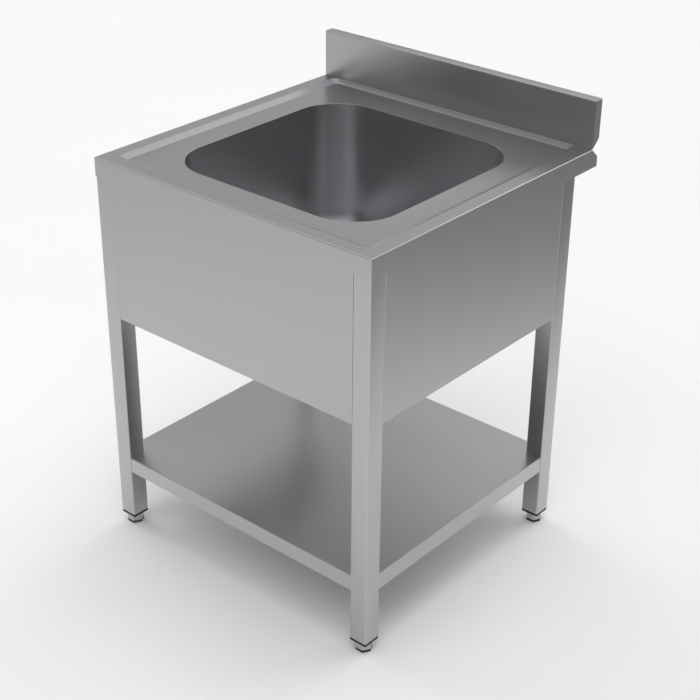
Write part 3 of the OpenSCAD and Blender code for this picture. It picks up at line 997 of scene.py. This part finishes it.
@dataclass
class WeldBeads(SubAssembly):
    """Short fillet welds out of sight: shelf to legs, rail to legs and aprons to legs."""

    leg_x: float = 0.309
    leg_y: tuple[float, float] = (-0.309, 0.233)
    shelf_under_z: float = 0.174
    rail_y: float = 0.248
    rail_z: tuple[float, float] = (0.510, 0.535)
    apron_z: tuple[float, ...] = (0.540, 0.660, 0.780)
    apron_fold: float = 0.334
    fold_w: float = 0.015
    length: float = 0.024
    width: float = 0.0036
    ripple: float = 0.0013
    sink: float = 0.0006
    drop_sizes: tuple[float, float] = (0.9, 1.06)
    seed: int = 7

    def _seams(self) -> list[tuple[Point, Point]]:
        """Lists the beads.

        Returns:
            The two ends of every bead's middle line.
        """
        seams = []
        half, z = self.length / 2, self.shelf_under_z - self.sink
        for side in (-1, 1):
            x = side * (self.leg_x - self.sink)
            outer = side * (self.leg_x + self.fold_w)
            fold_x = side * (self.apron_fold - self.sink)
            sides = [(y + inward * self.sink, y - inward * self.fold_w)
                     for y, inward in zip(self.leg_y, (1, -1))]
            for near, middle in sides:
                seams.append(((x, middle - half / 2, z), (x, middle + half, z)))
                seams.append(((outer - half, near, z), (outer + half, near, z)))
            rail_y = self.rail_y - self.sink
            seams.append(tuple((x, rail_y, rail_z) for rail_z in self.rail_z))
            for apron_z in self.apron_z:
                for place in [(x, -self.apron_fold + self.sink)] + [
                        (fold_x, near) for near, _ in sides]:
                    seams.append(((*place, apron_z - half), (*place, apron_z + half)))
        return seams

    def _recipe(self) -> Recipe:
        """Builds the tree that lays overlapping drops along each line.

        Returns:
            The tree.
        """
        tree = Recipe("weld_bead_recipe", {"Width": self.width, "Ripple": self.ripple})
        path = tree.add("MeshToCurve", {0: tree.given["Geometry"]}).outputs[0]
        spots = tree.add("ResampleCurve", {"Curve": path, "Length": tree.given["Ripple"]},
                         mode="LENGTH").outputs[0]
        drop = tree.add("MeshUVSphere", {
            "Segments": 10, "Rings": 6,
            "Radius": tree.calc("MULTIPLY", tree.given["Width"], 0.5)}).outputs[0]
        size = tree.add("FunctionNodeRandomValue", {
            2: self.drop_sizes[0], 3: self.drop_sizes[1], "Seed": self.seed}, data_type="FLOAT")
        drops = tree.add("InstanceOnPoints", {
            "Points": spots, "Instance": drop, "Scale": size.outputs[1]}).outputs[0]
        smooth = tree.add("RealizeInstances", {0: drops}).outputs[0]
        tree.close(tree.add("SetShadeSmooth", {0: smooth}).outputs[0])
        return tree

    def build(self) -> None:
        """Lays every bead as one piece of the table."""
        points = [point for seam in self._seams() for point in seam]
        lines = bpy.data.meshes.new("weld_lines")
        lines.from_pydata(points, [(i, i + 1) for i in range(0, len(points), 2)], [])
        finish = Finish.TURNED_STEEL
        beads = self._recipe().make("weld_beads", self.finishes.of(finish), paths=lines)
        self.finishes.dress(beads, finish, TABLE)


@dataclass
class RoundParts(SubAssembly):
    """Small round solids of the frame, given smooth faces."""

    table_nodes: dict[str, Finish] = field(default_factory=lambda: {
        "waste_strainer": Finish.TURNED_STEEL, "strainer_screw": Finish.TURNED_STEEL,
        "waste_top_seal": Finish.SEAL_RUBBER, "waste_lower_seal": Finish.SEAL_RUBBER,
        "screw_insert": Finish.TURNED_BRASS})
    level: float = math.radians(0.5)  # angle under which faces are one

    def build(self) -> None:
        """Copies each solid, merges its faces and makes its curves smooth."""
        for node, finish in self.table_nodes.items():
            solid = merged(node)
            bmesh.ops.dissolve_limit(solid, angle_limit=self.level, verts=solid.verts,
                                     edges=solid.edges)
            for face in solid.faces:
                face.smooth = True
            data = meshed("smooth_" + node, solid)
            data.set_sharp_from_angle(angle=CRISP)
            self.finishes.dress(linked("smooth_" + node, data), finish, TABLE, node)


@dataclass(frozen=True)
class SoftLight:
    """One soft patch of light on the studio's walls or ceiling."""

    name: str
    azimuth: float
    elevation: float
    strength: float

    @property
    def direction(self) -> Point:
        """Where it shines from."""
        turn, rise = math.radians(self.azimuth), math.radians(self.elevation)
        return (math.cos(turn) * math.cos(rise), math.sin(turn) * math.cos(rise), math.sin(rise))


@dataclass(frozen=True)
class PaintedFloorShade:
    """Painted shade: part of the studio's floor, beyond one side of the view, painted grey so that
    the steel reflects it darker.
    """

    side: float
    start: float
    end: float
    tone: float


@dataclass
class Studio:
    """Pale floor with painted shade beyond the view, soft light and the camera at the photograph's
    angle.
    """

    eye: Point = (1.7795, -2.0814, 1.9076)
    yaw: float = math.radians(40.431)
    pitch: float = math.radians(-28.704)
    roll: float = math.radians(0.523)
    lens_mm: float = 76.57
    sensor_mm: float = 36.0
    view_end: float = 100.0
    floor_size: float = 30.0
    floor_tone: float = 0.9
    floor_haze: float = 0.01
    view_edge: tuple[float, float] = (1.78, -2.08)
    view_turn: float = math.radians(40.4)
    view_spread: float = 0.24
    view_gap: float = 0.05
    # painted shade: the floor beyond each side of the view is greyed so that the steel reflects it
    # darker
    shades: tuple[PaintedFloorShade, ...] = (PaintedFloorShade(1, 0.0, 1.4, 0.25),
                                      PaintedFloorShade(-1, 0.3, 2.3, 0.63))
    backdrop_full: float = math.radians(-1)
    backdrop_end: float = math.radians(3)
    sharpness: float = 40.0
    ambient: float = 0.14
    lights: tuple[SoftLight, ...] = (
        SoftLight("rear_window", 96, 6, 3.0),
        SoftLight("rear_left_window", 144, 6, 0.86),
        SoftLight("left_window", 168, 6, 3.0),
        SoftLight("front_left_window", 192, 6, 3.0),
        SoftLight("front_window", 264, 6, 0.49),
        SoftLight("front_right_window", 288, 6, 2.57),
        SoftLight("rear_right_wall", 60, 28, 2.53),
        SoftLight("rear_wall", 90, 28, 3.0),
        SoftLight("rear_left_wall", 120, 28, 0.68),
        SoftLight("left_wall", 180, 28, 3.0),
        SoftLight("rear_left_ceiling", 120, 50, 0.28),
        SoftLight("left_ceiling", 160, 50, 2.0),
        SoftLight("front_left_ceiling", 240, 50, 1.68),
        SoftLight("front_ceiling", 280, 50, 1.14),
        SoftLight("front_right_ceiling", 320, 50, 1.63),
        SoftLight("rear_top", 90, 72, 2.0),
        SoftLight("right_top", 18, 72, 2.0),
        SoftLight("front_top", 306, 72, 2.0),
        SoftLight("top", 0, 90, 2.0))

    def camera(self) -> None:
        """Sets the camera where the photograph was taken from."""
        ahead = Vector((-math.sin(self.yaw) * math.cos(self.pitch),
                        math.cos(self.yaw) * math.cos(self.pitch), math.sin(self.pitch)))
        right = ahead.cross(Vector((0, 0, 1))).normalized()
        above = right.cross(ahead)
        cos, sin = math.cos(self.roll), math.sin(self.roll)
        across, up = right * cos + above * sin, above * cos - right * sin
        data = bpy.data.cameras.new("camera")
        data.lens, data.sensor_width, data.clip_end = self.lens_mm, self.sensor_mm, self.view_end
        camera = linked("camera", data)
        camera.matrix_world = Matrix((
            (across.x, up.x, -ahead.x, self.eye[0]), (across.y, up.y, -ahead.y, self.eye[1]),
            (across.z, up.z, -ahead.z, self.eye[2]), (0, 0, 0, 1)))
        bpy.context.scene.camera = camera

    def floor_material(self) -> bpy.types.Material:
        """Builds the pale floor's material, greyer beyond the sides of the view: painted shade
        that the steel reflects.

        Returns:
            The material.
        """
        graph = Graph("floor")
        place = graph.add("TexCoord").outputs["Object"]
        across = (math.cos(self.view_turn), math.sin(self.view_turn), 0.0)
        side = graph.dot(place, across)
        away = graph.add("VectorMath", {0: place, 1: (*self.view_edge, 0.0)},
                         operation="SUBTRACT").outputs[0]
        ahead = graph.dot(away, (-across[1], across[0], 0.0))
        reach = graph.calc("ADD", graph.calc("MULTIPLY", ahead, self.view_spread), self.view_gap)
        grain = graph.add("TexNoise", {"Vector": place, "Scale": 2.0}).outputs[0]
        colour = graph.mix(grain, [self.floor_tone - self.floor_haze] * 3,
                           [self.floor_tone + self.floor_haze] * 3)
        # painted shade: greys the floor beyond the view, for darker reflections in the steel
        for shade in self.shades:
            out = graph.calc("MAXIMUM", graph.calc("MULTIPLY", side, shade.side), 0.0)
            share = graph.ramp(graph.calc("SUBTRACT", out, reach), (shade.start, shade.end),
                               (0.0, 1.0), "SMOOTHSTEP")
            colour = graph.mix(share, colour, [shade.tone] * 3)
        return graph.finish(graph.add("BsdfDiffuse", {"Color": colour}))

    def floor(self) -> None:
        """Lays the pale floor."""
        half = self.floor_size / 2
        mesh = bpy.data.meshes.new("floor")
        mesh.from_pydata([(-half, -half, 0), (half, -half, 0), (half, half, 0),
                          (-half, half, 0)], [], [(0, 1, 2, 3)])
        mesh.materials.append(self.floor_material())
        linked("floor", mesh)

    def _horizon(self, sky: Nodes, place: Socket, light: Socket) -> Socket:
        """Adds a white backdrop about the horizon, seen directly and in metal.

        Args:
            sky: the world's nodes.
            place: the direction looked in.
            light: the studio's light in that direction.

        Returns:
            The light with the backdrop.
        """
        rise = sky.add("SeparateXYZ", {0: place}).outputs["Z"]
        band = sky.ramp(rise, (math.sin(self.backdrop_full), math.sin(self.backdrop_end)),
                        (1.0, 0.0), "SMOOTHSTEP")
        path = sky.add("LightPath").outputs
        seen = sky.calc("MAXIMUM", path["Is Camera Ray"], path["Is Glossy Ray"])
        seen = sky.calc("MAXIMUM", seen, path["Is Transmission Ray"])
        return sky.calc("ADD", sky.calc("MULTIPLY", seen, band), light)

    def world(self) -> None:
        """Lights the studio by its soft patches."""
        world = bpy.data.worlds.new("studio")
        world.use_nodes = True
        sky = Nodes(world.node_tree)
        place = sky.add("TexCoord").outputs["Generated"]
        total = self.ambient
        for light in self.lights:
            value = sky.dot(place, light.direction)
            for operation, number in (("SUBTRACT", 1.0), ("MULTIPLY", self.sharpness),
                                      ("EXPONENT", 0.0), ("MULTIPLY", light.strength)):
                value = sky.calc(operation, value, number, light.name)
            total = sky.calc("ADD", total, value)
        shine = sky.add("Background", {"Color": self._horizon(sky, place, total)})
        sky.add("OutputWorld", {"Surface": shine.outputs[0]})
        bpy.context.scene.world = world

    def build(self) -> None:
        """Sets up the floor, the light and the camera."""
        self.floor()
        self.world()
        self.camera()
        bpy.context.scene.view_settings.view_transform = "Standard"


def main() -> None:
    """Builds the studio and the sink table's pieces in order."""
    logging.basicConfig(level=logging.INFO, format="%(name)s: %(message)s")
    Studio().build()
    finishes = Finishes()
    finishes.dress_nodes()
    Worktop(finishes).build()
    bowl = Bowl(finishes)
    bowl.build()
    legs = Legs(finishes)
    legs.build()
    Threads(finishes, legs.places, bowl.middle).build()
    WeldBeads(finishes).build()
    RoundParts(finishes).build()


if __name__ == "__main__":
    main()
